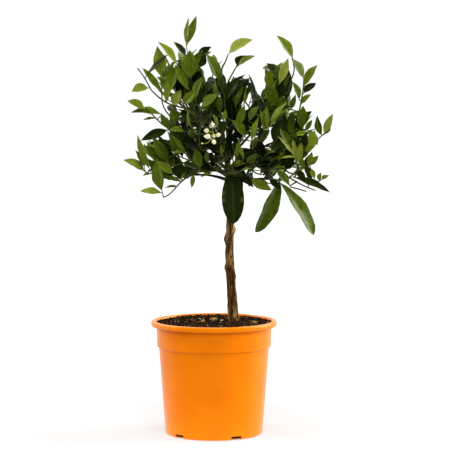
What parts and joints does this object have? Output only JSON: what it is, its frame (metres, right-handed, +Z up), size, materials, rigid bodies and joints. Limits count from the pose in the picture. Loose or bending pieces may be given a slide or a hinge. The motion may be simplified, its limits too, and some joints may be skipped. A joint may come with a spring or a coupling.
{
  "type": "potted mandarin tree",
  "caption": "Young citrus tree with a bare trunk, forked boughs and an open round leafy crown, standing in a tapered plastic nursery pot filled with potting soil.",
  "frame": {"origin": "middle of the pot's flat underside, on the floor", "axes": "+Z up along the pot's axis, +X to the right of the front view, -Y towards the viewer"},
  "size_m": [0.3361, 0.3052, 0.6628],
  "materials": {
    "pot": "satin moulded plastic, orange",
    "soil": "moist crumbly bark and peat mix",
    "bark": "rough grey-brown bark",
    "foliage": "glossy green leaves"
  },
  "bodies": {
    "root": {"pot": "pot", "soil": "soil", "trunk": "bark", "bough_low_left": "bark", "bough_mid_left": "bark", "bough_left": "bark", "bough_high_left": "bark", "bough_leader_left": "bark", "bough_high_right": "bark", "bough_right": "bark", "bough_low_right": "bark", "bough_mid_right": "bark", "bough_front_left": "bark", "bough_front_right": "bark", "bough_front_low": "bark", "bough_back_left": "bark", "bough_back_right": "bark", "bough_back_low_left": "bark", "bough_back_low_right": "bark", "leaves_low_left": "foliage", "leaves_mid_left": "foliage", "leaves_left": "foliage", "leaves_high_left": "foliage", "leaves_leader_left": "foliage", "leaves_top": "foliage", "leaves_high_right": "foliage", "leaves_right": "foliage", "leaves_low_right": "foliage", "leaves_mid_right": "foliage", "leaves_front_left": "foliage", "leaves_front_right": "foliage", "leaves_front_low": "foliage", "leaves_back_left": "foliage", "leaves_back_right": "foliage", "leaves_back_low_left": "foliage", "leaves_back_low_right": "foliage"}
  },
  "joints": []
}
